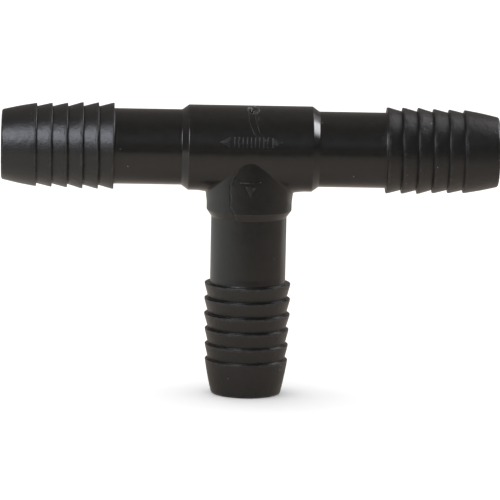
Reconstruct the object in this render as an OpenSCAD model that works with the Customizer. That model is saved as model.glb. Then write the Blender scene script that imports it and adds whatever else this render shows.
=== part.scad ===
// Barbed tee connector for soft irrigation pipe.
//
// A thick hub carries three equal barbed spigots. The run lies along X, the
// branch points down -Z, and the three axes cross at the origin. A pipe is
// pushed over each spigot until it meets the hub's shoulder. All sizes are in
// millimetres.

/* [Pipe] */
// Inside diameter of the pipe that is pushed over each spigot
pipe_bore = 15.8; // [12:0.1:32]
// How much wider than the pipe the full barbs stand, on the diameter
barb_stretch = 1.2; // [0.6:0.05:2.4]
// How much narrower than the pipe the smooth neck is, on the diameter
neck_slack = 0.9; // [0.4:0.05:1.6]
// How much narrower than the pipe the tip is, on the diameter
tip_slack = 1.9; // [1.4:0.05:3]

/* [Waterway] */
// Wall around the waterway at each tip
tip_wall = 1.45; // [1:0.05:2.2]
// How much narrower the branch waterway is than the run's, on the diameter
branch_step = 0.2; // [0.1:0.05:1.5]
// Bevel around each mouth of the waterway
mouth_bevel = 0.15; // [0.05:0.05:0.4]

/* [Barbs] */
// Number of barbs on each spigot
barb_count = 6; // [4:1:9]
// Number of barbs next to the neck that have the full diameter
full_barbs = 3; // [1:1:3]
// Distance from one barb to the next
barb_pitch = 3.05; // [1.8:0.05:6]
// Depth of the valley behind a full barb, on the radius
barb_depth = 0.75; // [0.4:0.05:1.2]
// How much smaller than the full barbs the last one is, on the radius
lead_relief = 0.31; // [0.18:0.01:0.5]
// Width of the narrow flat on each crest
crest_land = 0.22; // [0.1:0.01:0.5]
// Radius on the back edge of each crest
crest_round = 0.08; // [0.03:0.01:0.15]
// Length of the tip, from the last crest to the end face
tip_len = 6.9; // [4:0.05:14]
// Radius around the outside of the end face
tip_round = 0.5; // [0.2:0.05:1.2]

/* [Neck] */
// Length of the smooth neck, from the hub to the first crest
neck_len = 13.2; // [6:0.05:40]

/* [Hub] */
// How far the run's barrel stands out from the necks, on the radius
hub_step = 0.98; // [0.5:0.01:3]
// How much thinner the branch's barrel is than the run's, on the radius
branch_slim = 0.14; // [0.05:0.01:0.3]
// Straight length of the hub, outside the crossing of its two barrels
hub_land = 3.75; // [1:0.05:20]
// Length of the slope from the hub down to each neck
shoulder_len = 1.35; // [0.8:0.05:3]
// Radius at the top and at the foot of each shoulder
shoulder_round = 0.35; // [0.1:0.05:0.4]

/* [Moulded marks] */
// Height of the raised flow marks above the hub
mark_height = 0.12; // [0.05:0.01:0.3]
// Length of the run's mark
mark_len = 12.5; // [6:0.5:14]
// Height of the strokes and arrows
mark_band = 2.2; // [1:0.1:2.4]
// Width of each stroke
mark_stroke = 0.3; // [0.15:0.01:0.4]
// Number of strokes between the two arrows
mark_strokes = 9; // [1:1:9]
// Angle of the run's mark above the middle of the front
mark_tilt = 15; // [10:1:40]
// Distance of the branch's mark below the run's axis
mark_drop = 7.7; // [6:0.1:9]
// Distance of the gate from the branch's axis, towards the right
gate_offset = 0.4; // [0:0.1:2]
// Diameter of the shallow dish that the gate leaves
gate_d = 2.4; // [1:0.1:4]
// Depth of the dish
gate_depth = 0.28; // [0.1:0.01:0.5]
// Angle of the dish from the top towards the front
gate_tilt = 18; // [0:1:30]
// Diameter of the broken nub in the dish
nub_d = 0.8; // [0.4:0.1:1]
// How far the broken nub stands above the hub
nub_rise = 0.15; // [0:0.05:0.3]

/* [Hidden] */

arc_steps = 6;    // straight steps in each small rounding
round_fn = 96;    // resolution of the round bodies in the quick preview
over = 1;         // how far a cutter runs past the face that it opens
plastic = "#2c2b2a";

crest_r = (pipe_bore + barb_stretch) / 2;
neck_r = (pipe_bore - neck_slack) / 2;
tip_r = (pipe_bore - tip_slack) / 2;
run_bore_r = tip_r - tip_wall;
branch_bore_r = run_bore_r - branch_step / 2;
hub_r = neck_r + hub_step;
branch_hub_r = hub_r - branch_slim;
barbs_len = (barb_count - 1) * barb_pitch;
spigot_len = neck_len + barbs_len + tip_len;
end_round = min(tip_round, tip_wall - mouth_bevel - 0.3);
hub_reach = hub_r + hub_land + shoulder_len + shoulder_back(hub_r);
gate_ball_r = (gate_d * gate_d / 4 + gate_depth * gate_depth) / (2 * gate_depth);

// Points of an arc, as [radius, distance along the axis], from one angle to
// another. Angle 0 points away from the axis and 90 towards the tip.
function arc(centre, r, from, to) =
    [for (i = [0 : arc_steps])
        let (a = from + (to - from) * i / arc_steps)
        centre + r * [cos(a), sin(a)]];

// How far crest i stands below the full crests. It grows towards the tip.
function relief(i) =
    i < full_barbs ? 0
    : lead_relief * sqrt((i - full_barbs + 1) / (barb_count - full_barbs));

// One barb of the spigot's outline: back face, rounded edge, then the land.
function barb(i) =
    let (s = neck_len + i * barb_pitch,
         r = crest_r - relief(i),
         foot = i == 0 ? neck_r : crest_r - barb_depth - relief(i) / 2)
    concat(
        [[foot, s]],
        arc([r - crest_round, s + crest_round], crest_round, -90, 0),
        [[r, s + crest_round + crest_land]]
    );

// Outside of a spigot, from the hub to the end face.
function spigot_outline() =
    concat(
        [[neck_r, 0]],
        [for (i = [0 : barb_count - 1]) each barb(i)],
        arc([tip_r - end_round, spigot_len - end_round], end_round, 12, 90)
    );

// Angle of the shoulder that comes down from a barrel of radius r to its neck.
function shoulder_slope(r) = atan2(r - neck_r, shoulder_len);

// How far each rounding of that shoulder reaches past its corner.
function shoulder_back(r) = shoulder_round * tan(shoulder_slope(r) / 2);

// Outside of an arm of radius r, from the crossing to the foot of its shoulder.
function arm_outline(r) =
    let (slope = shoulder_slope(r),
         top = hub_reach - shoulder_len - 2 * shoulder_back(r))
    concat(
        [[r, 0]],
        arc([r - shoulder_round, top], shoulder_round, 0, slope),
        arc([neck_r + shoulder_round, hub_reach], shoulder_round, 180 + slope, 180)
    );

// Puts a shape that points up +Z on one outlet: "left", "right" or "branch".
module at_outlet(side) {
    turn = side == "left" ? [0, -90, 0] : side == "right" ? [0, 90, 0] : [180, 0, 0];
    rotate(turn) children();
}

// Turns an outline of [radius, distance] points about the axis, as a solid.
module turned(outline) {
    last = outline[len(outline) - 1][1];
    rotate_extrude($fn = round_fn)
        polygon(concat([[0, 0]], [for (p = outline) p], [[0, last]]));
}

// Waterway of one outlet, with the bevel at its mouth.
module waterway(r, from, to, bevelled) {
    translate([0, 0, from])
        cylinder(r = r, h = to - from + over, $fn = round_fn);
    if (bevelled)
        translate([0, 0, to - mouth_bevel])
            cylinder(r1 = r, r2 = r + mouth_bevel + over, h = mouth_bevel + over, $fn = round_fn);
}

// A spigot that points up +Z and stands on the hub's face.
module spigot(bore_r) {
    color(plastic)
        difference() {
            turned(spigot_outline());
            waterway(bore_r, -over, spigot_len, true);
        }
}

// A filled arrowhead that points right, as tall as the mark's band.
module arrowhead() {
    polygon([[0, -mark_band / 2], [mark_band, 0], [0, mark_band / 2]]);
}

// Flow mark for the run: an arrow at each end and strokes between.
module run_mark() {
    gap = (mark_len - 2 * mark_band) / (mark_strokes + 1);
    for (side = [0, 1])
        mirror([side, 0])
            translate([mark_len / 2 - mark_band, 0])
                arrowhead();
    for (i = [1 : mark_strokes])
        translate([mark_band - mark_len / 2 + i * gap - mark_stroke / 2, -mark_band / 2])
            square([mark_stroke, mark_band]);
}

// Flow mark for the branch: one arrow that points down, under a bar.
module branch_mark() {
    rotate(-90)
        arrowhead();
    translate([-mark_band, 2 * mark_stroke])
        square([2 * mark_band, mark_stroke]);
}

// Stands a flat mark up so that it faces the front, -Y.
module facing_front() {
    rotate([90, 0, 0]) linear_extrude(height = 2 * hub_r) children();
}

// Both flow marks, cut to their height above the two barrels.
module flow_marks() {
    intersection() {
        rotate([0, 90, 0])
            cylinder(r = hub_r + mark_height, h = 2 * mark_len, center = true, $fn = round_fn);
        rotate([-mark_tilt, 0, 0]) facing_front() run_mark();
    }
    intersection() {
        translate([0, 0, -hub_reach])
            cylinder(r = branch_hub_r + mark_height, h = hub_reach, $fn = round_fn);
        translate([0, 0, mark_band / 2 - mark_drop]) facing_front() branch_mark();
    }
}

// Cuts a shallow dish in the hub's top, where the plastic was fed in, and
// leaves the broken nub of the feed standing in it.
module gated() {
    difference() {
        children();
        rotate([gate_tilt, 0, 0])
            translate([gate_offset, 0, hub_r - gate_depth + gate_ball_r])
                sphere(r = gate_ball_r, $fn = round_fn);
    }
    rotate([gate_tilt, 0, 0])
        translate([gate_offset, 0, hub_r - 2 * gate_depth])
            cylinder(d = nub_d, h = 2 * gate_depth + nub_rise, $fn = round_fn);
}

// The hub's two solid barrels, with a shoulder at each of the three outlets.
module barrels() {
    for (side = ["left", "right"])
        at_outlet(side) turned(arm_outline(hub_r));
    at_outlet("branch") turned(arm_outline(branch_hub_r));
}

module hub() {
    color(plastic)
        difference() {
            union() {
                gated() barrels();
                flow_marks();
            }
            at_outlet("right") waterway(run_bore_r, -hub_reach - over, hub_reach, false);
            at_outlet("branch") waterway(branch_bore_r, 0, hub_reach, false);
        }
}

module left_spigot() {
    at_outlet("left") translate([0, 0, hub_reach]) spigot(run_bore_r);
}

module right_spigot() {
    at_outlet("right") translate([0, 0, hub_reach]) spigot(run_bore_r);
}

module branch_spigot() {
    at_outlet("branch") translate([0, 0, hub_reach]) spigot(branch_bore_r);
}

hub();
left_spigot();
right_spigot();
branch_spigot();
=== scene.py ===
"""Looks of a barbed tee connector moulded in black plastic.

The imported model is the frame: the run lies along X, the branch points down -Z
and the front, with the raised flow marks, faces -Y. The hub, the three spigots
and the marks are worked out here as grids of points in millimetres, and put
into meshes in metres.
"""

from __future__ import annotations

import logging
import math
from dataclasses import asdict, dataclass, field
from enum import Enum
from typing import Any

import bmesh
import bpy
import numpy as np
from mathutils import Matrix, Vector

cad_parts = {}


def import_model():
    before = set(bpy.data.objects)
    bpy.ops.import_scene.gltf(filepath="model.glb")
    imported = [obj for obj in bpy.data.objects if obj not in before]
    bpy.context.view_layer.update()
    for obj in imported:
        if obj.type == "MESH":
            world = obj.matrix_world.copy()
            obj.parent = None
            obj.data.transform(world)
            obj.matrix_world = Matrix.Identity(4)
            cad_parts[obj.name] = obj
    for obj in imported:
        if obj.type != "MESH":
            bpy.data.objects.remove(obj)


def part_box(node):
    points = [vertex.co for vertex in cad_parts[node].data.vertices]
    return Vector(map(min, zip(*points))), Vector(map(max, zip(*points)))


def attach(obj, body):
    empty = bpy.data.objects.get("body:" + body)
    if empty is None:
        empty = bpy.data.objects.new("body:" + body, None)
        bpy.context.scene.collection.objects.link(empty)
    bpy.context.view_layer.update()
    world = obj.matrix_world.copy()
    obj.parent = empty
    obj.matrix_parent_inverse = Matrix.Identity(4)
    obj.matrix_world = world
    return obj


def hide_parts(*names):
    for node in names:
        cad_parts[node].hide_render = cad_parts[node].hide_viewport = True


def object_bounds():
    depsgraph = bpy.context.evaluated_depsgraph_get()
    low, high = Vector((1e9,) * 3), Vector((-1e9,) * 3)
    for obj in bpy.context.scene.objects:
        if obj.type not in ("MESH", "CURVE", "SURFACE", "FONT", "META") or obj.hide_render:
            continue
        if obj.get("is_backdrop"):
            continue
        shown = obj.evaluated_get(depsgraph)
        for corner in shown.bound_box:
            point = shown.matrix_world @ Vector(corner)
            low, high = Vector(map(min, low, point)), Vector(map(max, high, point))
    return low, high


log = logging.getLogger("barbed_tee")
MM = 0.001
BODY = "root"
WELD_DISTANCE = 1e-7
SHORTEST_EDGE = 1e-8
SHARP_ANGLE = math.radians(50.0)
Array = np.ndarray
Triple = tuple[float, float, float]


class Outlet(Enum):
    """The three open ends of the tee, each with the way its axis points."""

    LEFT = (-1.0, 0.0, 0.0)
    RIGHT = (1.0, 0.0, 0.0)
    BRANCH = (0.0, 0.0, -1.0)

    @property
    def axis(self) -> Array:
        """Unit vector from the crossing towards the open end."""
        return np.array(self.value)

    @property
    def side(self) -> Array:
        """Unit vector in the parting plane, square to the axis."""
        return np.cross(np.array([0.0, 1.0, 0.0]), self.axis)

    @property
    def node(self) -> str:
        """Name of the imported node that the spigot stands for."""
        return f"{self.name.lower()}_spigot"


# ---------------------------------------------------------------- numbers


def graded(*spans: tuple[float, float, int]) -> Array:
    """Joins evenly spaced runs of values end to end.

    Args:
        spans: (first, last, steps) of each run; a run starts where the one
            before it stopped.

    Returns:
        One rising list that holds both ends of every run once.
    """
    runs = [np.linspace(a, b, n + 1) for a, b, n in spans]
    return np.concatenate([runs[0]] + [r[1:] for r in runs[1:]])


def bump(distance: Array, width: float) -> Array:
    """A soft hump: e to the power of minus (distance over width) squared."""
    return np.exp(-((distance / width) ** 2))


def smooth_step(low: float, high: float, value: Array) -> Array:
    """Rises from 0 at low to 1 at high as 3t^2 - 2t^3."""
    t = np.clip((value - low) / (high - low), 0.0, 1.0)
    return t * t * (3.0 - 2.0 * t)


def rounded_path(corners: Array, radii: Array, arc_steps: int, stops: Array) -> tuple[Array, Array]:
    """Samples an open path whose inner corners are rounded.

    With unit directions d0 into a corner and d1 out of it, and t the angle
    between them, the arc of radius R touches both sides at R tan(t/2) from the
    corner, and its centre lies R / cos(t/2) from the corner along d1 - d0.

    Args:
        corners: (n, 2) corner points, ends included.
        radii: (n - 2,) radius at each inner corner.
        arc_steps: steps along each arc.
        stops: fractions between 0 and 1 at which each straight is sampled.

    Returns:
        (m, 2) points, and (m,) values that are 1 on arcs that stand proud, -1
        on arcs in a hollow and 0 on straights.
    """
    way = np.diff(corners, axis=0)
    way /= np.linalg.norm(way, axis=1, keepdims=True)
    d0, d1, at = way[:-1], way[1:], corners[1:-1]
    turn = np.arccos(np.clip((d0 * d1).sum(1), -1.0, 1.0))
    reach = radii * np.tan(turn / 2)
    start, stop = at - d0 * reach[:, None], at + d1 * reach[:, None]
    inward = d1 - d0
    inward /= np.linalg.norm(inward, axis=1, keepdims=True)
    centre = at + inward * (radii / np.cos(turn / 2))[:, None]
    w = np.linspace(0.0, 1.0, arc_steps + 1)[None, :, None]
    t = turn[:, None, None]
    arcs = centre[:, None] + (
        np.sin((1 - w) * t) * (start - centre)[:, None] + np.sin(w * t) * (stop - centre)[:, None]
    ) / np.sin(t)
    ends_in = np.vstack([start, corners[-1:]])
    ends_out = np.vstack([corners[:1], stop])
    straights = ends_out[:, None] + stops[None, :, None] * (ends_in - ends_out)[:, None]
    legs = np.concatenate([straights[:-1], arcs], axis=1)
    proud = np.sign(d0[:, 1] * d1[:, 0] - d0[:, 0] * d1[:, 1])
    flags = np.concatenate(
        [np.zeros((len(at), len(stops))), np.repeat(proud[:, None], arc_steps + 1, 1)], axis=1
    )
    points = np.vstack([corners[:1], legs.reshape(-1, 2), straights[-1], corners[-1:]])
    marks = np.concatenate([[0.0], flags.ravel(), np.zeros(len(stops) + 1)])
    return points, marks


# ---------------------------------------------------------------- meshes


def link(name: str, data: Any) -> bpy.types.Object:
    """Makes an object from its data and puts it in the scene."""
    thing = bpy.data.objects.new(name, data)
    bpy.context.scene.collection.objects.link(thing)
    return thing


def on_run(s: Array, r: Array | float, angle: Array) -> Array:
    """Points at distance s along the run, radius r and angle from straight down to the front."""
    s, r, angle = np.broadcast_arrays(s, r, angle)
    return np.stack([s, -r * np.sin(angle), -r * np.cos(angle)], -1)


def on_branch(s: Array, r: Array | float, angle: Array) -> Array:
    """Points at distance s down the branch, radius r and angle from the right to the front."""
    s, r, angle = np.broadcast_arrays(s, r, angle)
    return np.stack([r * np.cos(angle), -r * np.sin(angle), -s], -1)


@dataclass
class Shell:
    """Grids of points, in millimetres, that are welded into one closed mesh.

    Each point carries two values for the finish: edge, 1 on a sharp proud edge,
    2 on torn plastic and 1 all over the flow marks as a painted highlight; and
    satin, 0 on polished walls and 1 on the duller barbs.
    """

    name: str
    points: list[Array] = field(default_factory=list)
    faces: list[Array] = field(default_factory=list)
    edge: list[Array] = field(default_factory=list)
    satin: list[Array] = field(default_factory=list)
    count: int = 0

    def add(
        self, grid: Array, edge: Array | float = 0.0, satin: Array | float = 0.0, wrap: bool = False
    ) -> None:
        """Adds one grid of points.

        Args:
            grid: (rows, columns, 3) points.
            edge: edge value of each point, or one for all.
            satin: satin value of each point, or one for all.
            wrap: whether the last column joins the first.
        """
        rows, cols = grid.shape[:2]
        index = np.arange(rows * cols).reshape(rows, cols) + self.count
        right = np.roll(index, -1, axis=1)
        if not wrap:
            index, right = index[:, :-1], right[:, :-1]
        quads = np.stack([index[:-1], right[:-1], right[1:], index[1:]], axis=-1)
        self.points.append(grid.reshape(-1, 3))
        self.faces.append(quads.reshape(-1, 4))
        self.edge.append(np.broadcast_to(edge, (rows, cols)).ravel())
        self.satin.append(np.broadcast_to(satin, (rows, cols)).ravel())
        self.count += rows * cols

    def mirror(self) -> None:
        """Adds a copy of everything so far with X negated."""
        shift = self.count
        self.points += [p * (-1.0, 1.0, 1.0) for p in self.points]
        self.faces += [f[:, ::-1] + shift for f in self.faces]
        self.edge += list(self.edge)
        self.satin += list(self.satin)
        self.count *= 2

    def build(self, moved: Array | None = None) -> bpy.types.Object:
        """Welds the grids and turns every face outwards.

        Args:
            moved: points to use in place of the gathered ones.

        Returns:
            A smooth-shaded object at the origin, in metres.
        """
        points = np.concatenate(self.points) if moved is None else moved
        mesh = bpy.data.meshes.new(self.name)
        mesh.from_pydata((points * MM).tolist(), [], np.concatenate(self.faces).tolist())
        for name, values in (("edge", self.edge), ("satin", self.satin)):
            layer = mesh.attributes.new(name, "FLOAT", "POINT")
            layer.data.foreach_set("value", np.concatenate(values).astype(np.float32))
        work = bmesh.new()
        work.from_mesh(mesh)
        bmesh.ops.remove_doubles(work, verts=work.verts, dist=WELD_DISTANCE)
        bmesh.ops.dissolve_degenerate(work, edges=work.edges, dist=SHORTEST_EDGE)
        bmesh.ops.recalc_face_normals(work, faces=work.faces)
        work.to_mesh(mesh)
        work.free()
        mesh.polygons.foreach_set("use_smooth", np.ones(len(mesh.polygons), bool))
        mesh.set_sharp_from_angle(angle=SHARP_ANGLE)
        mesh.update()
        return link(self.name, mesh)


# ---------------------------------------------------------------- sizes


@dataclass(frozen=True)
class TeeSizes:
    """Sizes that more than one part of the tee shares, in millimetres."""

    reach: float
    end: float
    crest_r: float
    hub_r: float = 8.43
    branch_hub_r: float = 8.2
    neck_r: float = 7.45
    tip_r: float = 6.86
    run_bore_r: float = 5.5
    branch_bore_r: float = 5.4
    mouth_bevel: float = 0.15
    seam_height: float = 0.016
    seam_width: float = 0.09

    @classmethod
    def from_frame(cls) -> TeeSizes:
        """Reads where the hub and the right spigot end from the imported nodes."""
        hub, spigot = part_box("hub")[1] / MM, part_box(Outlet.RIGHT.node)[1] / MM
        return cls(reach=hub.x, end=spigot.x, crest_r=spigot.z)

    def bore_r(self, outlet: Outlet) -> float:
        """Radius of the waterway of one outlet."""
        return self.branch_bore_r if outlet is Outlet.BRANCH else self.run_bore_r


@dataclass(frozen=True)
class Nick:
    """A small dent in a wall, or a nib of flash where its depth is negative, in millimetres."""

    place: Triple
    radius: float
    depth: float


NICKS: dict[Outlet, tuple[Nick, ...]] = {
    Outlet.LEFT: (Nick((-33.1, -7.6, 3.6), 0.35, 0.15),),
    Outlet.RIGHT: (Nick((19.9, 0.1, -7.45), 0.3, -0.16),),
}


# ---------------------------------------------------------------- parts


@dataclass
class Spigot:
    """One neck with its barbs and tip, as a closed solid of revolution."""

    sizes: TeeSizes
    outlet: Outlet
    neck_len: float = 13.2
    barbs: int = 6
    full_barbs: int = 3
    pitch: float = 3.05
    barb_depth: float = 0.75
    lead_relief: float = 0.31
    land: float = 0.3
    root_round: float = 0.1
    crest_round: float = 0.08
    land_round: float = 1.5
    tip_round: float = 0.5
    tip_bulge: float = 0.09
    tip_bow: float = 60.0
    bow_from: float = 0.5
    bow_to: float = 0.7
    mouth_round: float = 0.05
    satin_fade: float = 0.6
    crest_relief: float = 0.05
    crest_relief_width: float = 0.16
    crest_wander: float = 0.008
    crowding: float = 0.4
    arc_steps: int = 6
    columns: int = 184

    def outline(self) -> tuple[Array, Array, Array]:
        """Works out the section of the wall.

        Crest i has radius crest_r minus lead_relief times the square root of
        its share of the way from the last full crest to the last crest, and
        the valley in front of it drops by half as much.

        Returns:
            (n, 2) points as distance along the axis and radius, the edge value
            and the satin value of each.
        """
        z, length = self.sizes, self.sizes.end - self.sizes.reach
        i = np.arange(self.barbs)
        share = np.clip((i - self.full_barbs + 1) / (self.barbs - self.full_barbs), 0.0, 1.0)
        relief = self.lead_relief * np.sqrt(share)
        s, top = self.neck_len + i * self.pitch, z.crest_r - relief
        foot = np.where(i == 0, z.neck_r, z.crest_r - self.barb_depth - relief / 2)
        teeth = np.stack(
            [np.stack([s, foot], 1), np.stack([s, top], 1), np.stack([s + self.land, top], 1)], axis=1
        ).reshape(-1, 2)
        bore = z.bore_r(self.outlet)
        middle = (teeth[-1] + (length, z.tip_r)) / 2 + (0.0, self.tip_bulge)
        corners = np.vstack(
            [
                [[0.0, z.neck_r]],
                teeth,
                [
                    middle,
                    [length, z.tip_r],
                    [length, bore + z.mouth_bevel],
                    [length - z.mouth_bevel, bore],
                    [0.0, bore],
                ],
            ]
        )
        tooth = [self.root_round, self.crest_round, self.land_round]
        tip = [self.tip_bow, self.tip_round, self.mouth_round, self.mouth_round]
        stops = np.array([0.015, 0.1, 0.35, 0.65, 0.9, 0.985])
        points, proud = rounded_path(corners, np.array(tooth * self.barbs + tip), self.arc_steps, stops)
        along, radius = points.T
        inside = radius < bore + z.mouth_bevel + 0.01
        satin = smooth_step(self.neck_len - self.satin_fade, self.neck_len, along) * ~inside
        # the tip's slow bow is a wall and not a worn edge
        on_bow = (along > teeth[-1, 0] + self.bow_from) & (along < length - self.bow_to)
        edge = np.where(proud > 0, 1.0, 0.0) * (along > self.neck_len - self.root_round) * ~on_bow
        return points, edge, satin

    def shape(self) -> Shell:
        """Turns the section about the axis.

        A point at distance s, radius r and angle a is axis * s + r (cos a side
        + sin a Y). The angles crowd towards the parting plane, Y = 0, as a = u
        - crowding sin 2u. There the neck carries a fine ridge, and the crests
        are relieved, because the two halves of the mould meet. Each crest's
        radius also wanders a little around it, as the product of two sines.

        Returns:
            The closed skin of the spigot.
        """
        path, edge, satin = self.outline()
        u = np.linspace(0.0, 2 * math.pi, self.columns, endpoint=False)
        a = (u - self.crowding * np.sin(2 * u))[None, :]
        s, r = path[:, :1] + self.sizes.reach, path[:, 1:]
        outer = (r > self.sizes.bore_r(self.outlet) + 0.5).astype(float)
        off = r * np.sin(a)
        ridge = self.sizes.seam_height * bump(off, self.sizes.seam_width) * (1 - satin[:, None])
        relief = self.crest_relief * bump(off, self.crest_relief_width) * satin[:, None] * edge[:, None]
        wander = self.crest_wander * edge[:, None] * (1 + np.sin(5 * a + s) * np.sin(11 * a - 2.3 * s))
        r = r + outer * (ridge - relief - wander)
        direction = np.cos(a)[..., None] * self.outlet.side + np.sin(a)[..., None] * [0.0, 1.0, 0.0]
        grid = s[..., None] * self.outlet.axis + r[..., None] * direction
        for nick in NICKS.get(self.outlet, ()):
            dent = nick.depth * bump(np.linalg.norm(grid - nick.place, axis=-1), nick.radius)
            grid = grid - (dent * outer)[..., None] * direction
        shell = Shell(self.outlet.node.replace("spigot", "barbs"))
        # the ends of the section meet on the hub's face, so its first row closes the ring
        rows = np.concatenate([grid, grid[:1]])
        shell.add(rows, np.append(edge, 0.0)[:, None], np.append(satin, 0.0)[:, None], wrap=True)
        return shell

    def build(self, finish: bpy.types.Material) -> bpy.types.Object:
        """Makes the piece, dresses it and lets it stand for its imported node."""
        return adopt(self.shape().build(), finish, self.outlet.node)


@dataclass
class GateScar:
    """The dish and torn nub where the plastic was fed in, in millimetres."""

    x: float = 0.4
    tilt: float = math.radians(18.0)
    stretch: float = 1.55
    dish_r: float = 1.1
    depth: float = 0.42
    lip_height: float = 0.12
    lip_width: float = 0.13
    nub_x: float = -0.26
    nub_turn: float = -0.05
    nub_r: float = 0.45
    nub_height: float = 0.62

    def place(self, points: Array) -> tuple[Array, Array]:
        """Where each point lies on the wall around the gate's middle.

        Args:
            points: (n, 3) points of the hub.

        Returns:
            Distance along X, and distance around the wall towards the front
            divided by the stretch, so that the scar is longer that way.
        """
        radius = np.hypot(points[:, 1], points[:, 2])
        turn = np.arctan2(-points[:, 1], points[:, 2]) - self.tilt
        return points[:, 0] - self.x, turn * radius / self.stretch

    def height(self, points: Array) -> Array:
        """How far the hub's wall moves outwards at each point.

        With q the distance from the gate's middle over the wall, the dish is
        depth (1 - (q / dish_r)^2) deep inside dish_r, with a low lip around it
        whose height changes with the angle, and a stub stands beside the
        middle. The stub's top slopes and ripples, so it looks torn.

        Args:
            points: (n, 3) points of the hub.

        Returns:
            (n,) heights; the dish's are below 0.
        """
        u, v = self.place(points)
        q, angle = np.hypot(u, v), np.arctan2(v, u)
        torn = 0.5 + 0.5 * np.sin(3 * angle + 0.7) * np.sin(5 * angle)
        dish = -self.depth * np.clip(1 - (q / self.dish_r) ** 2, 0.0, 1.0)
        lip = self.lip_height * torn * bump(q - self.dish_r - 0.04, self.lip_width)
        stub_q = np.hypot(u - self.nub_x, v - self.nub_turn)
        slope = 1 - smooth_step(0.6 * self.nub_r, self.nub_r, stub_q)
        stub = self.nub_height * slope * (0.85 + 0.3 * u + 0.12 * np.sin(9 * u + 4 * v))
        return dish + lip + stub

    def torn(self, points: Array) -> Array:
        """Edge value of each point: 2 on the lip and the stub, 0 on the wall.

        Args:
            points: (n, 3) points of the hub.

        Returns:
            (n,) values, which fade out smoothly.
        """
        u, v = self.place(points)
        lip = bump(np.hypot(u, v) - self.dish_r, 0.2)
        stub = bump(np.hypot(u - self.nub_x, v - self.nub_turn), self.nub_r)
        return 2.0 * np.maximum(lip, stub) * (points[:, 2] > 0)


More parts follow.
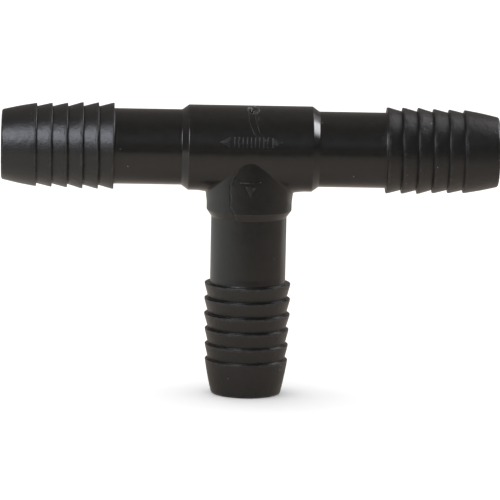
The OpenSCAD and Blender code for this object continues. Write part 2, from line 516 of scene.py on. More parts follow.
@dataclass
class Hub:
    """The thick centre: two barrels that cross, with three shoulders."""

    sizes: TeeSizes
    gate: GateScar = field(default_factory=GateScar)
    shoulder_len: float = 1.35
    shoulder_round: float = 0.35
    corner_round: float = 0.3
    flare: float = 0.26
    flare_len: float = 2.7
    widening: float = 0.2
    lead: float = 0.8
    shoulder_edge: float = 0.6
    seam_gap: float = 0.5

    def shoulder(self, barrel_r: float) -> tuple[Array, Array]:
        """Section of one shoulder, from the straight barrel to the neck.

        Args:
            barrel_r: radius of the barrel that it comes down from.

        Returns:
            (n, 2) points as distance and radius, and the edge value of each.
        """
        z = self.sizes
        back = self.shoulder_round * math.tan(math.atan2(barrel_r - z.neck_r, self.shoulder_len) / 2)
        foot = z.reach - back
        top = foot - self.shoulder_len
        corners = np.array(
            [[top - self.lead, barrel_r], [top, barrel_r], [foot, z.neck_r], [z.reach, z.neck_r]]
        )
        radii = np.full(2, self.shoulder_round)
        points, proud = rounded_path(corners, radii, 14, np.array([0.05, 0.5, 0.95]))
        return points, np.where(proud > 0, self.shoulder_edge, 0.0)

    def arm(self, barrel_r: float, first: Array) -> tuple[Array, Array, Array]:
        """Rows of points down one barrel, finest near the other barrel.

        Args:
            barrel_r: radius of the barrel.
            first: (columns,) distance at which each column begins.

        Returns:
            Distance and radius of each point, and the edge value of each row.
        """
        wall, edge = self.shoulder(barrel_r)
        cols = len(first)
        share = graded((0.0, 0.17, 22), (0.17, 0.9, 12), (0.9, 1.0, 3))[:, None]
        s = np.vstack([first + share * (wall[0, 0] - first), np.repeat(wall[1:, :1], cols, 1)])
        r = np.vstack([np.full((len(share), cols), barrel_r), np.repeat(wall[1:, 1:], cols, 1)])
        return s, r, np.concatenate([np.zeros(len(share)), edge[1:]])[:, None]

    def shape(self) -> Shell:
        """Builds the half with X above 0, then mirrors it.

        A ball of radius f rolls in the corner between the two barrels, so its
        centre is R = hub_r + f from the run's axis and B = branch_hub_r + f from
        the branch's. At angle a around the branch it is at angle t around the
        run, with R sin t = B sin a, and at (B cos a, -B sin a, -R cos t). The
        run's wall starts at s = B cos a under the run and at s = 0 over it, and
        the branch's starts at s = R cos t; between them lies the ball's arc.
        Inside, the waterways meet where both radii hold at once.

        Returns:
            The closed skin of the hub, before its relief.
        """
        z, f = self.sizes, self.corner_round
        big, slim = z.hub_r + f, z.branch_hub_r + f
        low = np.radians(graded((-90, -5, 36), (-5, 5, 22), (5, 90, 36)))
        high = np.radians(graded((90, 152, 28), (152, 184, 76), (184, 270, 38)))
        cos_low, sin_low = np.cos(low), np.sin(low)

        def from_run(ratio: float) -> Array:
            """Angles around the run that go with low, then evenly on with high."""
            below = np.arcsin(ratio * sin_low)
            above = np.interp(high, [high[0], high[-1]], [below[-1], 2 * math.pi - below[-1]])
            return np.concatenate([below, above[1:]])

        around = from_run(slim / big)
        under = around[: len(low)]
        over = np.zeros(len(high) - 1)
        shell = Shell("hub_shell")
        s, r, edges = self.arm(z.hub_r, np.concatenate([slim * cos_low, over]))
        shell.add(on_run(s, r, around), edges)
        s, r, edges = self.arm(z.branch_hub_r, big * np.cos(under))
        shell.add(on_branch(s, r, low), edges)

        w = np.linspace(0.0, 1.0, 9)[:, None, None]
        zero = np.zeros_like(low)
        to_run = np.stack([zero, np.sin(under), np.cos(under)], -1)
        to_branch = np.stack([-cos_low, sin_low, zero], -1)
        ray = (1 - w) * to_run + w * to_branch
        ray /= np.linalg.norm(ray, axis=-1, keepdims=True)
        shell.add(on_branch(big * np.cos(under), slim, low) + f * ray)

        rr, rb = z.run_bore_r, z.branch_bore_r
        inside = from_run(rb / rr)
        t = graded((0.0, 0.1, 4), (0.1, 1.0, 5))[:, None]
        mouth = np.concatenate([rb * cos_low, over])
        shell.add(on_run(mouth + t * (z.reach - mouth), rr, inside))
        mouth = np.sqrt(rr**2 - (rb * sin_low) ** 2)
        shell.add(on_branch(mouth + t * (z.reach - mouth), rb, low))

        run_face = [on_run(z.reach, r, angle) for r, angle in ((z.neck_r, around), (rr, inside))]
        shell.add(np.stack(run_face))
        shell.add(on_branch(z.reach, np.array([[z.neck_r], [rb]]), low))
        shell.mirror()
        return shell

    def corner_flare(self, points: Array) -> Array:
        """Thickens both barrels a little where they meet, in the parting plane.

        With u and v how far a point lies beyond the branch's wall and beyond
        the run's, each barrel grows by flare (1 - d / flare_len)^1.5, where d
        is the distance from the other barrel. The branch's also grows by the
        widening, which fades out down its shoulder. Points slide along the
        wall by a linear share of the same, so that the corner stays one edge.

        Args:
            points: (n, 3) points of the hub.

        Returns:
            (n, 3) moves.
        """
        z, (x, y, depth) = self.sizes, (points * (1.0, 1.0, -1.0)).T
        u = np.abs(x) - np.sqrt(np.clip(z.branch_hub_r**2 - y**2, 0.0, None))
        v = depth - np.sqrt(np.clip(z.hub_r**2 - y**2, 0.0, None))
        near_u, near_v = (np.clip(1 - np.clip(d, 0.0, None) / self.flare_len, 0.0, 1.0) for d in (u, v))
        weight = np.clip(1 - (y / z.branch_hub_r) ** 2, 0.0, 1.0) ** 2 * (depth > 0)
        thick = np.clip((np.hypot(x, y) - z.neck_r) / (z.branch_hub_r - z.neck_r), 0.0, 1.0)
        sideways = near_u * (self.flare * near_v**1.5 + self.widening * thick)
        out = np.stack([np.sign(x) * sideways, 0 * x, -self.flare * near_u**1.5 * near_v], -1)
        return out * weight[:, None]

    def relief(self, points: Array) -> Array:
        """Moves the wall for the corner, the parting ridge and the gate scar.

        The last two push a point straight out from the nearer barrel's axis:
        the run's where |X| or Z is larger than the depth below the axis, else
        the branch's. The ridge leaves the corner itself free.

        Args:
            points: (n, 3) points of the hub.

        Returns:
            (n, 3) points in their new places.
        """
        z = self.sizes
        on_run = points[:, 2] > -np.abs(points[:, 0])
        spoke = np.where(on_run[:, None], points * (0.0, 1.0, 1.0), points * (1.0, 1.0, 0.0))
        radius = np.linalg.norm(spoke, axis=1)
        # the waterways stay as they are
        outer = smooth_step(z.run_bore_r + 0.6, z.neck_r - 0.5, radius)
        corner = 1 - bump(points[:, 2] + np.abs(points[:, 0]), self.seam_gap)
        seam = z.seam_height * bump(points[:, 1], z.seam_width) * np.where(points[:, 2] < 0, corner, 1.0)
        gate = self.gate.height(points) * (points[:, 2] > 0)
        move = (outer * (seam + gate) / np.maximum(radius, 1e-6))[:, None] * spoke
        return points + move + outer[:, None] * self.corner_flare(points)

    def build(self, finish: bpy.types.Material) -> bpy.types.Object:
        """Makes the piece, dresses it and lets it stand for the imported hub.

        Args:
            finish: its material.

        Returns:
            The piece.
        """
        shell = self.shape()
        points = np.concatenate(shell.points)
        shell.edge = [np.maximum(np.concatenate(shell.edge), self.gate.torn(points))]
        return adopt(shell.build(self.relief(points)), finish, "hub")


ARROW_ROUND = 0.09


@dataclass(frozen=True)
class Pad:
    """A flat outline that is raised into a low pad, in millimetres.

    The outline is inset by shrinking it towards its centre by inset / half,
    which for a triangle about its incentre is an even border.
    """

    outline: Array
    centre: tuple[float, float]
    half: tuple[float, float]

    @classmethod
    def stroke(cls, x: float, width: float, height: float) -> Pad:
        """An upright bar with round corners: a superellipse of power 5.

        Args:
            x: where its middle is.
            width: its size along x.
            height: its size across.

        Returns:
            The bar.
        """
        a = np.linspace(0.0, 2 * math.pi, 48, endpoint=False)
        way = np.stack([np.cos(a), np.sin(a)], -1)
        half = (width / 2, height / 2)
        return cls(np.sign(way) * np.abs(way) ** (2 / 5) * half + [x, 0.0], (x, 0.0), half)

    @classmethod
    def arrow(cls, x: float, size: float, way: float) -> Pad:
        """A triangle with round corners.

        Args:
            x: where its flat back is.
            size: its length, and its height across the back.
            way: 1 if it points to +x, -1 if it points to -x.

        Returns:
            The arrowhead, whose centre is the triangle's incentre.
        """
        tip, back, up = [x + way * size, 0.0], [x, -size / 2], [x, size / 2]
        corners = np.array([[x, 0.0], back, tip, up, [x, 0.0]])
        points, _ = rounded_path(corners, np.full(3, ARROW_ROUND), 6, np.array([0.25, 0.5, 0.75]))
        side = math.hypot(size, size / 2)
        inner = size * size / (2 * side + size)
        return cls(points[:-1], (x + way * inner, 0.0), (inner, inner))

    def turned_down(self) -> Pad:
        """The same outline turned a quarter turn, so that +X points to -Y.

        Returns:
            The turned pad.
        """
        turn = np.array([[0.0, -1.0], [1.0, 0.0]])
        centre = np.array(self.centre) @ turn
        return Pad(self.outline @ turn, (centre[0], centre[1]), self.half)

    def moved(self, x: float, y: float) -> Pad:
        """The same outline in another place."""
        return Pad(self.outline + [x, y], (self.centre[0] + x, self.centre[1] + y), self.half)

    def grid(self, height: float, border: float, root: float) -> Array:
        """Raises the outline.

        Row k is the outline inset by border (1 - cos e) at height sin e times
        the full height, with e from 0 to a quarter turn. Rows below close the
        pad under the wall and rows above close its top, each at one point.

        Args:
            height: how far the pad stands above the wall.
            border: width of its rounded edge.
            root: how far it reaches below the wall.

        Returns:
            (rows, columns, 3) points as x, y and height.
        """
        e = np.linspace(0.0, math.pi / 2, 7)
        inset = np.concatenate([[1.0, 0.0], border * (1 - np.cos(e)), [border, 1.0]])
        lift = np.concatenate([[-root, -root], height * np.sin(e), [height, height]])
        shrink = 1 - np.minimum(inset[:, None] / np.array(self.half), 1.0)
        shrink[[0, -1]] = 0.0
        shrink[-2] = shrink[-3] * 0.5
        flat = np.array(self.centre) + (self.outline - self.centre)[None] * shrink[:, None]
        rows = np.broadcast_to(lift[:, None, None], (*flat.shape[:2], 1))
        return np.concatenate([flat, rows], -1)


@dataclass
class FlowMarks:
    """The raised marks that show which way the water can go."""

    sizes: TeeSizes
    run_height: float = 0.14
    branch_height: float = 0.18
    border: float = 0.09
    root: float = 0.15
    length: float = 12.5
    band: float = 2.2
    stroke: float = 0.3
    strokes: int = 9
    tilt: float = math.radians(15.0)
    drop: float = 7.7
    # edge value given to the whole of each mark: it lifts the marks to the pale rubbed colour as a painted
    # highlight
    rub: float = 1.0
    satin: float = 0.6

    def run_pads(self) -> list[Pad]:
        """An arrow at each end and strokes between them.

        Returns:
            The pads of the run's mark.
        """
        edge = self.length / 2 - self.band
        gap = 2 * edge / (self.strokes + 1)
        places = -edge + gap * np.arange(1, self.strokes + 1)
        arrows = [Pad.arrow(way * edge, self.band, way) for way in (-1.0, 1.0)]
        return arrows + [Pad.stroke(float(x), self.stroke, self.band) for x in places]

    def branch_pads(self) -> list[Pad]:
        """One arrow that points down, under a bar.

        Returns:
            The pads of the branch's mark.
        """
        arrow = Pad.arrow(0.0, self.band, 1.0).turned_down().moved(0.0, self.band / 2)
        bar = Pad.stroke(0.0, self.stroke, 2 * self.band).turned_down()
        bar = Pad(bar.outline, bar.centre, (self.band, self.stroke / 2))
        return [arrow, bar.moved(0.0, self.band / 2 + 2.5 * self.stroke)]

    def build(self, finish: bpy.types.Material) -> list[bpy.types.Object]:
        """Wraps the pads around the two barrels.

        A pad point at x, y and height h goes to angle t = tilt + y / r on the
        run, at (x, -(r + h) cos t, (r + h) sin t), and to angle t = x / r on the
        branch, at ((r + h) sin t, -(r + h) cos t, y - drop).

        Args:
            finish: material of the marks.

        Returns:
            The run's marks and the branch's, one piece each.
        """
        run, branch = Shell("run_mark"), Shell("branch_mark")
        r = self.sizes.hub_r
        for pad in self.run_pads():
            x, y, h = np.moveaxis(pad.grid(self.run_height, self.border, self.root), -1, 0)
            t = self.tilt + y / r
            points = np.stack([x, -(r + h) * np.cos(t), (r + h) * np.sin(t)], -1)
            # the whole mark carries the edge value of the painted highlight
            run.add(points, self.rub, self.satin, wrap=True)
        r = self.sizes.branch_hub_r
        for pad in self.branch_pads():
            x, y, h = np.moveaxis(pad.grid(self.branch_height, self.border, self.root), -1, 0)
            t = x / r
            points = np.stack([(r + h) * np.sin(t), -(r + h) * np.cos(t), y - self.drop], -1)
            branch.add(points, self.rub, self.satin, wrap=True)
        return [adopt(shell.build(), finish) for shell in (run, branch)]


def adopt(piece: bpy.types.Object, finish: bpy.types.Material, *nodes: str) -> bpy.types.Object:
    """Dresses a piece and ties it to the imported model.

    Args:
        piece: the finished object.
        finish: its material.
        nodes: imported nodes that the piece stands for.

    Returns:
        The same piece.
    """
    piece.data.materials.append(finish)
    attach(piece, BODY)
    if nodes:
        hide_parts(*nodes)
    return piece


# ---------------------------------------------------------------- finishes


class Graph:
    """Places and joins nodes in one node tree."""

    def __init__(self, tree: bpy.types.NodeTree) -> None:
        """Starts with an empty tree."""
        self.tree = tree
        tree.nodes.clear()

    def add(self, kind: str, inputs: dict[Any, Any] | None = None, **settings: Any) -> bpy.types.Node:
        """Adds a node.

        Args:
            kind: the node's type.
            inputs: value or output socket for each named or numbered input.
            settings: properties of the node.

        Returns:
            The new node.
        """
        node = self.tree.nodes.new(kind)
        for name, value in settings.items():
            setattr(node, name, value)
        for key, value in (inputs or {}).items():
            socket = node.inputs[key]
            if isinstance(value, bpy.types.NodeSocket):
                self.tree.links.new(value, socket)
            else:
                socket.default_value = value
        return node

    def math(self, operation: str, *values: Any, clamp: bool = False) -> bpy.types.NodeSocket:
        """One sum, product or other step of arithmetic."""
        node = self.add("ShaderNodeMath", dict(enumerate(values)), operation=operation, use_clamp=clamp)
        return node.outputs[0]

    def band(
        self, value: Any, low: float, high: float, to_low: float = 0.0, to_high: float = 1.0
    ) -> bpy.types.NodeSocket:
        """Maps low..high smoothly onto to_low..to_high, and holds it there."""
        inputs = {"Value": value, "From Min": low, "From Max": high, "To Min": to_low, "To Max": to_high}
        return self.add("ShaderNodeMapRange", inputs, interpolation_type="SMOOTHSTEP").outputs["Result"]

    def noise(self, vector: Any, scale: Any, detail: float = 2.0, rough: float = 0.5) -> bpy.types.NodeSocket:
        """Value of a noise pattern at a place."""
        inputs = {"Vector": vector, "Scale": scale, "Detail": detail, "Roughness": rough}
        return self.add("ShaderNodeTexNoise", inputs).outputs[0]

    def vector(self, operation: str, inputs: dict[Any, Any]) -> bpy.types.NodeSocket:
        """One step of vector arithmetic, whose result is a number for a distance or a dot product."""
        node = self.add("ShaderNodeVectorMath", inputs, operation=operation)
        return node.outputs["Value" if operation in ("DISTANCE", "DOT_PRODUCT") else "Vector"]

    def place(self) -> bpy.types.NodeSocket:
        """The point of the surface, in the object's own coordinates."""
        return self.add("ShaderNodeTexCoord").outputs["Object"]

    def axes(self, vector: Any) -> Any:
        """X, Y and Z of a vector, by name."""
        return self.add("ShaderNodeSeparateXYZ", {0: vector}).outputs


class Group(Graph):
    """The inside of one shader node group."""

    def __init__(self, name: str, inputs: dict[str, float | None]) -> None:
        """Starts the group.

        Args:
            name: the group's name.
            inputs: default of each input that is a value, or None for a vector.
        """
        super().__init__(bpy.data.node_groups.new(name, "ShaderNodeTree"))
        for label, default in inputs.items():
            kind = "NodeSocketVector" if default is None else "NodeSocketFloat"
            socket = self.tree.interface.new_socket(label, in_out="INPUT", socket_type=kind)
            if default is not None:
                socket.default_value = default
        self.source = self.add("NodeGroupInput").outputs

    def give(self, **outputs: bpy.types.NodeSocket) -> bpy.types.NodeTree:
        """Gives the group one output for each value.

        Args:
            outputs: the value of each output, by its name.

        Returns:
            The finished group.
        """
        for label in outputs:
            self.tree.interface.new_socket(label, in_out="OUTPUT", socket_type="NodeSocketFloat")
        self.add("NodeGroupOutput", outputs)
        return self.tree


class Effects:
    """Effects that the finishes share, each a shader node group built once."""

    def __init__(self) -> None:
        """Builds the groups."""
        self.grain = self.build_grain()
        self.streaks = self.build_streaks()
        self.crease = self.build_crease()
        self.dust = self.build_dust()
        self.wear = self.build_wear()
        self.seam = self.build_seam()

    @staticmethod
    def build_grain() -> bpy.types.NodeTree:
        """Fine moulded texture, and slow waves where the wall has shrunk.

        Returns:
            The group, with the outputs Fine, Waves and Mottle.
        """
        g = Group("moulded_grain", {"Place": None, "Grain Scale": 3800.0, "Wave Scale": 260.0})
        place, wave_scale = g.source["Place"], g.source["Wave Scale"]
        return g.give(
            Fine=g.noise(place, g.source["Grain Scale"], 4.0, 0.6),
            Waves=g.noise(place, wave_scale, 2.0, 0.45),
            Mottle=g.noise(place, g.math("MULTIPLY", wave_scale, 2.7), 5.0, 0.62),
        )

    @staticmethod
    def build_streaks() -> bpy.types.NodeTree:
        """Wispy lines that the plastic leaves as it flows away from the gate.

        They are a noise that is stretched down and round the wall and bent by
        a slower one, and they fade out at reach from the centre.

        Returns:
            The group, with the output Mask.
        """
        g = Group("flow_streaks", {"Place": None, "Scale": 900.0, "Centre": None, "Reach": 0.004})
        place = g.source["Place"]
        warp = g.add("ShaderNodeTexNoise", {"Vector": place, "Scale": 420.0, "Detail": 2.0})
        shift = g.vector("SCALE", {0: warp.outputs["Color"], "Scale": 0.0012})
        bent = g.vector("ADD", {0: place, 1: shift})
        stretch = g.add("ShaderNodeMapping", {"Vector": bent, "Scale": (1.0, 0.16, 0.16)})
        lines = g.noise(stretch.outputs[0], g.source["Scale"], 3.0, 0.55)
        away = g.vector("DISTANCE", {0: place, 1: g.source["Centre"]})
        share = g.math("DIVIDE", away, g.source["Reach"])
        return g.give(Mask=g.math("MULTIPLY", g.band(lines, 0.54, 0.66), g.band(share, 0.35, 1.0, 1.0, 0.0)))

    @staticmethod
    def build_crease() -> bpy.types.NodeTree:
        """A hairline on the front, where two fronts of plastic met.

        It lies at x = middle + bow (z - level)^2 + wander (noise of z - 1/2),
        and fades out reach above and below the level.

        Returns:
            The group, with the output Mask.
        """
        inputs = {"Middle": -0.0039, "Level": -0.0086, "Bow": 52.0, "Reach": 0.0053}
        g = Group("weld_crease", {"Place": None, **inputs, "Half Width": 0.0003, "Wander": 0.0008})
        axes = g.axes(g.source["Place"])
        rise = g.math("SUBTRACT", axes["Z"], g.source["Level"])
        bow = g.math("MULTIPLY", g.math("MULTIPLY", rise, rise), g.source["Bow"])
        height = g.add("ShaderNodeCombineXYZ", {0: g.source["Middle"], 2: axes["Z"]}).outputs[0]
        wave = g.math("SUBTRACT", g.noise(height, 700.0, 1.0), 0.5)
        middle = g.math("MULTIPLY_ADD", wave, g.source["Wander"], g.source["Middle"])
        off = g.math("ABSOLUTE", g.math("SUBTRACT", axes["X"], g.math("ADD", middle, bow)))
        line = g.band(g.math("DIVIDE", off, g.source["Half Width"]), 0.2, 1.0, 1.0, 0.0)
        share = g.math("DIVIDE", g.math("ABSOLUTE", rise), g.source["Reach"])
        ends = g.band(share, 0.75, 1.0, 1.0, 0.0)
        front = g.math("LESS_THAN", axes["Y"], 0.0)
        return g.give(Mask=g.math("MULTIPLY", g.math("MULTIPLY", line, ends), front))

    @staticmethod
    def build_dust() -> bpy.types.NodeTree:
        """A few pale specks, each kept only where a slow pattern is high.

        Returns:
            The group, with the output Mask.
        """
        g = Group("pale_specks", {"Place": None, "Scale": 420.0, "Size": 0.06})
        cells = g.add("ShaderNodeTexVoronoi", {"Vector": g.source["Place"], "Scale": g.source["Scale"]})
        spot = g.math("LESS_THAN", cells.outputs["Distance"], g.source["Size"])
        kept = g.math("GREATER_THAN", g.noise(g.source["Place"], 300.0, 1.0), 0.55)
        return g.give(Mask=g.math("MULTIPLY", spot, kept))

    @staticmethod
    def build_wear() -> bpy.types.NodeTree:
        """Rubbed edges, torn plastic and a painted highlight on the flow marks: the edge value of the mesh,
        broken up by noise.

        Returns:
            The group, with the outputs Rubbed and Torn.
        """
        g = Group("edge_wear", {"Place": None, "Edge": 0.0})
        edge = g.source["Edge"]
        broken = g.band(g.noise(g.source["Place"], 1400.0, 4.0, 0.65), 0.42, 0.68)
        return g.give(
            Rubbed=g.math("MULTIPLY", edge, broken, clamp=True),
            Torn=g.math("MULTIPLY", g.band(edge, 1.0, 1.7), broken),
        )

    @staticmethod
    def build_seam() -> bpy.types.NodeTree:
        """The parting line: a band around Y = 0 of the given half width.

        Returns:
            The group, with the output Mask.
        """
        g = Group("parting_line", {"Place": None, "Half Width": 0.0001})
        off = g.math("ABSOLUTE", g.axes(g.source["Place"])["Y"])
        return g.give(Mask=g.band(g.math("DIVIDE", off, g.source["Half Width"]), 0.4, 1.0, 1.0, 0.0))


def new_material(name: str) -> tuple[bpy.types.Material, Graph]:
    """Makes an empty material, and the graph of its nodes.

    Args:
        name: the material's name.

    Returns:
        The material and its graph.
    """
    material = bpy.data.materials.new(name)
    material.use_nodes = True
    return material, Graph(material.node_tree)


@dataclass(frozen=True)
class Wisp:
    """A pale wavy line that runs down the front from the gate, in metres."""

    middle: float
    level: float
    reach: float
    bow: float = 0.0
    half_width: float = 0.00009
    wander: float = 0.0008

    def inputs(self) -> dict[str, float]:
        """The line's values, by the name of the group's inputs."""
        return {key.replace("_", " ").title(): value for key, value in asdict(self).items()}


@dataclass(frozen=True)
class MouldedPlastic:
    """Black moulded plastic, polished on walls and duller on the barbs."""

    name: str
    below_gate: Triple = (0.0004, -0.00468, 0.00676)
    colour: Triple = (0.0078, 0.0075, 0.0073)
    # pale colour of rubbed edges and flow streaks, also used as a painted highlight on the flow marks
    worn: Triple = (0.045, 0.044, 0.043)
    torn: Triple = (0.13, 0.125, 0.12)
    speck: Triple = (0.14, 0.135, 0.13)
    polished: float = 0.17
    dull: float = 0.33
    grain_depth: float = 0.000012
    wave_depth: float = 0.00005
    matt_depth: float = 0.00011
    crease_depth: float = 0.00012
    wear: float = 0.35
    mottle_lift: float = 1.2
    streak_share: float = 0.3
    streak_rough: float = 0.17
    rubbed_rough: float = 0.2
    grain_floor: float = 0.3
    seam_rise: float = 0.12
    wisp_rise: float = 0.07
    wisps: tuple[Wisp, ...] = (Wisp(-0.0007, 0.0078, 0.0050, 90.0), Wisp(0.0008, 0.0080, 0.0045, 55.0))

    def material(self, effects: Effects) -> bpy.types.Material:
        """Builds the material.

        Roughness runs from polished to dull with the mesh's satin value, and
        noise, streaks and wear change it from place to place. Colour is the
        black, lifted a little by mottle, wear, torn plastic and specks, and by a
        painted highlight that makes the flow marks pale all over.

        Args:
            effects: the shared node groups.

        Returns:
            The material.
        """
        material, g = new_material(self.name)
        place = g.place()
        satin = g.add("ShaderNodeAttribute", attribute_name="satin").outputs["Fac"]
        edge = g.add("ShaderNodeAttribute", attribute_name="edge").outputs["Fac"]
        groups = (effects.grain, effects.streaks, effects.dust, effects.wear, effects.seam, effects.crease)
        grain, streaks, dust, wear, seam, crease = (
            g.add("ShaderNodeGroup", {}, node_tree=tree).outputs for tree in groups
        )
        wisps: Any = 0.0
        for wisp in self.wisps:
            line = g.add("ShaderNodeGroup", wisp.inputs(), node_tree=effects.crease).outputs["Mask"]
            wisps = g.math("MAXIMUM", wisps, line)
        for node in [n for n in g.tree.nodes if n.type == "GROUP"]:
            g.tree.links.new(place, node.inputs["Place"])
            if "Edge" in node.inputs:
                g.tree.links.new(edge, node.inputs["Edge"])
            if "Centre" in node.inputs:
                node.inputs["Centre"].default_value = self.below_gate

        def mixed(share: Any, first: Any, second: Any) -> bpy.types.NodeSocket:
            """Blend of two colours."""
            node = g.add("ShaderNodeMix", {"Factor": share, 6: first, 7: second}, data_type="RGBA")
            return node.outputs[2]

        lift = tuple(c * self.mottle_lift for c in self.colour)
        colour = mixed(g.band(grain["Mottle"], 0.35, 0.7), (*self.colour, 1.0), (*lift, 1.0))
        # lifts rubbed edges, and the whole of the flow marks as a painted highlight, towards the pale colour
        rubbed_and_highlit = g.math("MULTIPLY", wear["Rubbed"], self.wear)
        colour = mixed(rubbed_and_highlit, colour, (*self.worn, 1.0))
        pale = g.math("MULTIPLY", g.math("MAXIMUM", streaks["Mask"], wisps), self.streak_share)
        colour = mixed(pale, colour, (*self.worn, 1.0))
        colour = mixed(wear["Torn"], colour, (*self.torn, 1.0))
        colour = mixed(dust["Mask"], colour, (*self.speck, 1.0))

        rough = g.band(satin, 0.0, 1.0, self.polished, self.dull)
        rough = g.math("ADD", rough, g.band(grain["Mottle"], 0.3, 0.7, -0.01, 0.02))
        rough = g.math("ADD", rough, g.math("MULTIPLY", pale, self.streak_rough))
        rough = g.math("ADD", rough, g.math("MULTIPLY", rubbed_and_highlit, self.rubbed_rough), clamp=True)

        fine = g.math("MULTIPLY", grain["Fine"], g.math("ADD", satin, self.grain_floor))
        matt = g.math("MULTIPLY", grain["Mottle"], satin)
        torn_edge = g.math("MULTIPLY", crease["Mask"], g.math("ADD", grain["Fine"], 0.6))
        line = g.math("SUBTRACT", g.math("MULTIPLY", seam["Mask"], self.seam_rise), torn_edge)
        line = g.math("ADD", line, g.math("MULTIPLY", wisps, self.wisp_rise))
        normal = g.add("ShaderNodeBump", {"Height": grain["Waves"], "Distance": self.wave_depth}).outputs[0]
        depths = ((matt, self.matt_depth), (fine, self.grain_depth), (line, self.crease_depth))
        for height, distance in depths:
            inputs = {"Height": height, "Distance": distance, "Normal": normal}
            normal = g.add("ShaderNodeBump", inputs).outputs[0]
        inputs = {"Base Color": colour, "Roughness": rough, "Normal": normal, "IOR": 1.5}
        shader = g.add("ShaderNodeBsdfPrincipled", inputs)
        g.add("ShaderNodeOutputMaterial", {"Surface": shader.outputs[0]})
        return material


# ---------------------------------------------------------------- studio


class Seen(Enum):
    """Which rays meet a studio surface: everything, or only reflections."""

    ALL = "all"
    REFLECTIONS = "reflections"


def heading(azimuth: float, elevation: float) -> Array:
    """Unit vector at two angles in degrees; azimuth 0 is the front, 90 the right."""
    a, e = math.radians(azimuth), math.radians(elevation)
    return np.array([math.sin(a) * math.cos(e), -math.cos(a) * math.cos(e), math.sin(e)])


def lamp_paint(name: str) -> tuple[bpy.types.Material, Graph, bpy.types.Node]:
    """A surface that only gives off light, whose colour is still to be joined.

    Args:
        name: the material's name.

    Returns:
        The material, its graph and the node that gives off the light.
    """
    material, g = new_material(name)
    light = g.add("ShaderNodeEmission", {"Strength": 1.0})
    g.add("ShaderNodeOutputMaterial", {"Surface": light.outputs[0]})
    return material, g, light


def disc(radii: tuple[float, ...], z: float, points: int) -> Array:
    """Rings of points of a level disc, in metres.

    Args:
        radii: radius of each ring.
        z: height of the disc.
        points: points on each ring.

    Returns:
        (rings, points, 3) points.
    """
    r = np.array(radii)[:, None]
    a = np.linspace(0.0, 2 * math.pi, points, endpoint=False)[None, :]
    return np.stack([r * np.cos(a), r * np.sin(a), np.full((len(radii), points), z)], -1)


def rings(name: str, grid: Array, material: bpy.types.Material, seen: Seen) -> bpy.types.Object:
    """Makes a studio surface from rings of points, in metres.

    Args:
        name: the object's name.
        grid: (rings, points, 3) points; each ring closes on itself.
        material: its finish.
        seen: which rays meet it.

    Returns:
        The object.
    """
    rows, cols = grid.shape[:2]
    index = np.arange(rows * cols).reshape(rows, cols)
    right = np.roll(index, -1, axis=1)
    quads = np.stack([index[:-1], index[1:], right[1:], right[:-1]], -1).reshape(-1, 4)
    mesh = bpy.data.meshes.new(name)
    mesh.from_pydata(grid.reshape(-1, 3).tolist(), [], quads.tolist())
    mesh.materials.append(material)
    thing = link(name, mesh)
    if seen is Seen.REFLECTIONS:
        thing.visible_camera = False
        thing.visible_diffuse = False
        thing.visible_shadow = False
        thing.visible_transmission = False
    thing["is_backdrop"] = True
    return thing


@dataclass(frozen=True)
class Glow:
    """A soft round patch of light, full inside one angle and gone past another, in degrees."""

    azimuth: float
    elevation: float
    inner: float
    outer: float
    light: Triple


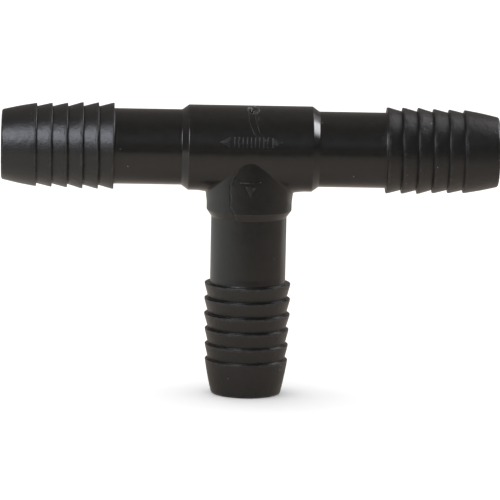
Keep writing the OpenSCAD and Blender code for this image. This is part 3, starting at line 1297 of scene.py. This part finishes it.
@dataclass(frozen=True)
class Room:
    """What the walls mirror: a dim room with windows, and the table's top.

    Only reflections meet it. The table's height and the dome's radius are in
    metres, and every triple is red, green and blue light.
    """

    table_z: float
    radius: float = 9.0
    front: Triple = (0.12, 0.115, 0.10)
    back: Triple = (0.27, 0.245, 0.23)
    table: Triple = (0.70, 0.61, 0.53)
    table_cool: Triple = (0.0, 0.4, 0.7)
    table_dark: Triple = (0.11, 0.10, 0.07)
    patch: Triple = (0.4, 0.42, 0.42)
    glows: tuple[Glow, ...] = (
        Glow(-36.0, 34.0, 7.0, 25.0, (6.2, 6.4, 7.2)),
        Glow(-31.0, 12.0, 6.0, 26.0, (0.75, 0.72, 0.80)),
        Glow(102.0, 30.0, 7.0, 18.0, (10.0, 10.1, 10.6)),
        Glow(112.0, 45.0, 8.0, 34.0, (1.4, 1.37, 1.45)),
        Glow(1.5, 25.0, 2.0, 14.0, (0.12, 0.12, 0.15)),
    )

    @staticmethod
    def summed(g: Graph, parts: list[tuple[Any, Triple]]) -> bpy.types.NodeSocket:
        """Adds up lights.

        Args:
            g: graph of the surface.
            parts: share and light of each part.

        Returns:
            The sum of all shares times their lights.
        """
        total: Any = (0.0, 0.0, 0.0)
        for share, light in parts:
            total = g.vector("ADD", {0: total, 1: g.vector("SCALE", {0: light, "Scale": share})})
        return total

    def walls(self) -> bpy.types.Object:
        """A dome whose light depends on the direction from its middle.

        The front half is dim, and dimmer still on the right. Each glow's share
        falls with the cosine of the angle from its own direction.

        Returns:
            The dome.
        """
        material, g, light = lamp_paint("room")
        way = g.vector("NORMALIZE", {0: g.place()})
        axes = g.axes(way)
        ahead = g.band(axes["Y"], -0.5, 0.3, 1.0, 0.0)
        ahead = g.math("MULTIPLY", ahead, g.band(axes["X"], 0.12, 0.45, 1.0, 0.12))
        parts = [(ahead, self.front), (g.band(axes["Y"], -0.5, 0.3), self.back)]
        for glow in self.glows:
            towards = tuple(heading(glow.azimuth, glow.elevation))
            dot = g.vector("DOT_PRODUCT", {0: way, 1: towards})
            low, high = (math.cos(math.radians(angle)) for angle in (glow.outer, glow.inner))
            parts.append((g.band(dot, low, high), glow.light))
        g.tree.links.new(self.summed(g, parts), light.inputs["Color"])
        a = np.linspace(0.0, 2 * math.pi, 64, endpoint=False)[None, :]
        e = np.linspace(-0.3, math.pi / 2, 20)[:, None]
        grid = self.radius * np.stack([np.cos(e) * np.cos(a), np.cos(e) * np.sin(a), np.sin(e) + 0 * a], -1)
        return rings("room", grid, material, Seen.REFLECTIONS)

    def table_top(self) -> bpy.types.Object:
        """The table just over the floor, lit from the left and dark in front.

        Its light falls from the tee towards the front edge, and from left to
        right, and it is warmer on the right. The tee's foot shades it, and a
        pale patch lies behind on the right.

        Returns:
            The disc.
        """
        material, g, light = lamp_paint("table_top")
        place = g.place()
        axes = g.axes(place)
        near = g.band(axes["Y"], -0.36, -0.06)
        behind = g.band(axes["Y"], 0.05, 0.25, 1.0, 0.5)
        fall = {"Value": axes["X"], "From Min": -0.2, "From Max": 0.2, "To Min": 1.35, "To Max": 0.6}
        side = g.add("ShaderNodeMapRange", fall).outputs["Result"]
        under = g.vector("DISTANCE", {0: place, 1: (0.0, 0.01, self.table_z)})
        shade = g.band(under, 0.0, 0.05, 0.5, 1.0)
        lit = g.math("MULTIPLY", g.math("MULTIPLY", near, behind), g.math("MULTIPLY", side, shade))
        cool = g.math("MULTIPLY", lit, g.band(axes["X"], -0.16, 0.02, 0.22, 0.0))
        dark = g.math("SUBTRACT", 1.0, near)
        corner = g.vector("DISTANCE", {0: place, 1: (0.16, 0.15, self.table_z)})
        patch = g.band(corner, 0.02, 0.1, 1.0, 0.0)
        parts = [(lit, self.table), (cool, self.table_cool), (dark, self.table_dark), (patch, self.patch)]
        g.tree.links.new(self.summed(g, parts), light.inputs["Color"])
        grid = disc((0.0, 0.05, 0.2, 1.0, 5.0), self.table_z, 64)
        return rings("table_top", grid, material, Seen.REFLECTIONS)


@dataclass
class Studio:
    """Pale floor, soft light and the camera, in metres and degrees."""

    floor_z: float
    target: Triple = (0.00036, 0.0, -0.02034)
    azimuth: float = -1.7
    elevation: float = 8.99
    roll: float = 1.2
    distance: float = 0.9155
    lens: float = 333.2
    sky_light: float = 1.15
    table_gap: float = 0.0003

    def camera(self) -> bpy.types.Object:
        """Places the camera at its angle, leaning by the roll.

        It stands at target + distance * back, with back its heading. Its right
        and up are turned by the roll.

        Returns:
            The camera.
        """
        az, ro = math.radians(self.azimuth), math.radians(self.roll)
        back = Vector(heading(self.azimuth, self.elevation))
        right = Vector((math.cos(az), math.sin(az), 0.0))
        up = back.cross(right)
        lean_right = math.cos(ro) * right + math.sin(ro) * up
        lean_up = math.cos(ro) * up - math.sin(ro) * right
        turn = Matrix((lean_right, lean_up, back)).transposed().to_4x4()
        data = bpy.data.cameras.new("camera")
        data.sensor_width = 36.0
        data.lens = self.lens
        data.clip_start, data.clip_end = 0.05, 100.0
        camera = link("camera", data)
        camera.matrix_world = Matrix.Translation(Vector(self.target) + self.distance * back) @ turn
        bpy.context.scene.camera = camera
        return camera

    def floor(self) -> bpy.types.Object:
        """A wide pale disc that the tee stands on.

        Returns:
            The disc.
        """
        grid = disc((0.0, 0.05, 0.2, 1.0, 4.0, 14.0), self.floor_z, 96)
        material, g = new_material("pale_floor")
        tone = g.band(g.noise(g.place(), 5.0, 3.0), 0.3, 0.7, 0.88, 0.91)
        paint = g.add("ShaderNodeCombineColor", {0: tone, 1: tone, 2: tone}).outputs[0]
        shader = g.add("ShaderNodeBsdfPrincipled", {"Base Color": paint, "Roughness": 0.9})
        g.add("ShaderNodeOutputMaterial", {"Surface": shader.outputs[0]})
        return rings("floor", grid, material, Seen.ALL)

    def lamp(self, name: str, place: Triple, size: float, power: float) -> bpy.types.Object:
        """A soft square lamp aimed at the tee, which reflections don't meet.

        Args:
            name: the lamp's name.
            place: where its middle is.
            size: length of its side.
            power: its light in watts.

        Returns:
            The lamp.
        """
        data = bpy.data.lights.new(name, "AREA")
        data.size, data.energy = size, power
        lamp = link(name, data)
        turn = (-Vector(place)).to_track_quat("-Z", "Y").to_matrix().to_4x4()
        lamp.matrix_world = Matrix.Translation(Vector(place)) @ turn
        lamp.visible_glossy = False
        return lamp

    def sky(self) -> None:
        """Even white light from all round, and plain tone mapping."""
        world = bpy.data.worlds.new("sky")
        world.use_nodes = True
        g = Graph(world.node_tree)
        light = g.add("ShaderNodeBackground", {"Color": (1.0, 1.0, 1.0, 1.0), "Strength": self.sky_light})
        g.add("ShaderNodeOutputWorld", {"Surface": light.outputs[0]})
        bpy.context.scene.world = world
        bpy.context.scene.view_settings.view_transform = "Standard"

    def build(self) -> None:
        """Sets the whole studio up."""
        self.camera()
        self.floor()
        room = Room(self.floor_z + self.table_gap)
        room.walls()
        room.table_top()
        self.lamp("soft_top", (-0.5, 0.3, 1.6), 1.6, 12.0)
        self.sky()


def corners_of(box: tuple[Vector, Vector]) -> list[list[float]]:
    """A box's two corners as plain lists of numbers."""
    return [[float(v) for v in corner] for corner in box]


def main() -> None:
    """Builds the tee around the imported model, then its studio."""
    logging.basicConfig(level=logging.INFO, format="%(name)s: %(message)s")
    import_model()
    cad_box = corners_of(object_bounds())
    sizes = TeeSizes.from_frame()
    finish = MouldedPlastic("black_plastic").material(Effects())
    pieces = [Hub(sizes).build(finish)]
    pieces += [Spigot(sizes, outlet).build(finish) for outlet in Outlet]
    pieces += FlowMarks(sizes).build(finish)
    for piece in pieces:
        log.info("%s: %d faces", piece.name, len(piece.data.polygons))
    Studio(floor_z=cad_box[0][2]).build()


if __name__ == "__main__":
    main()
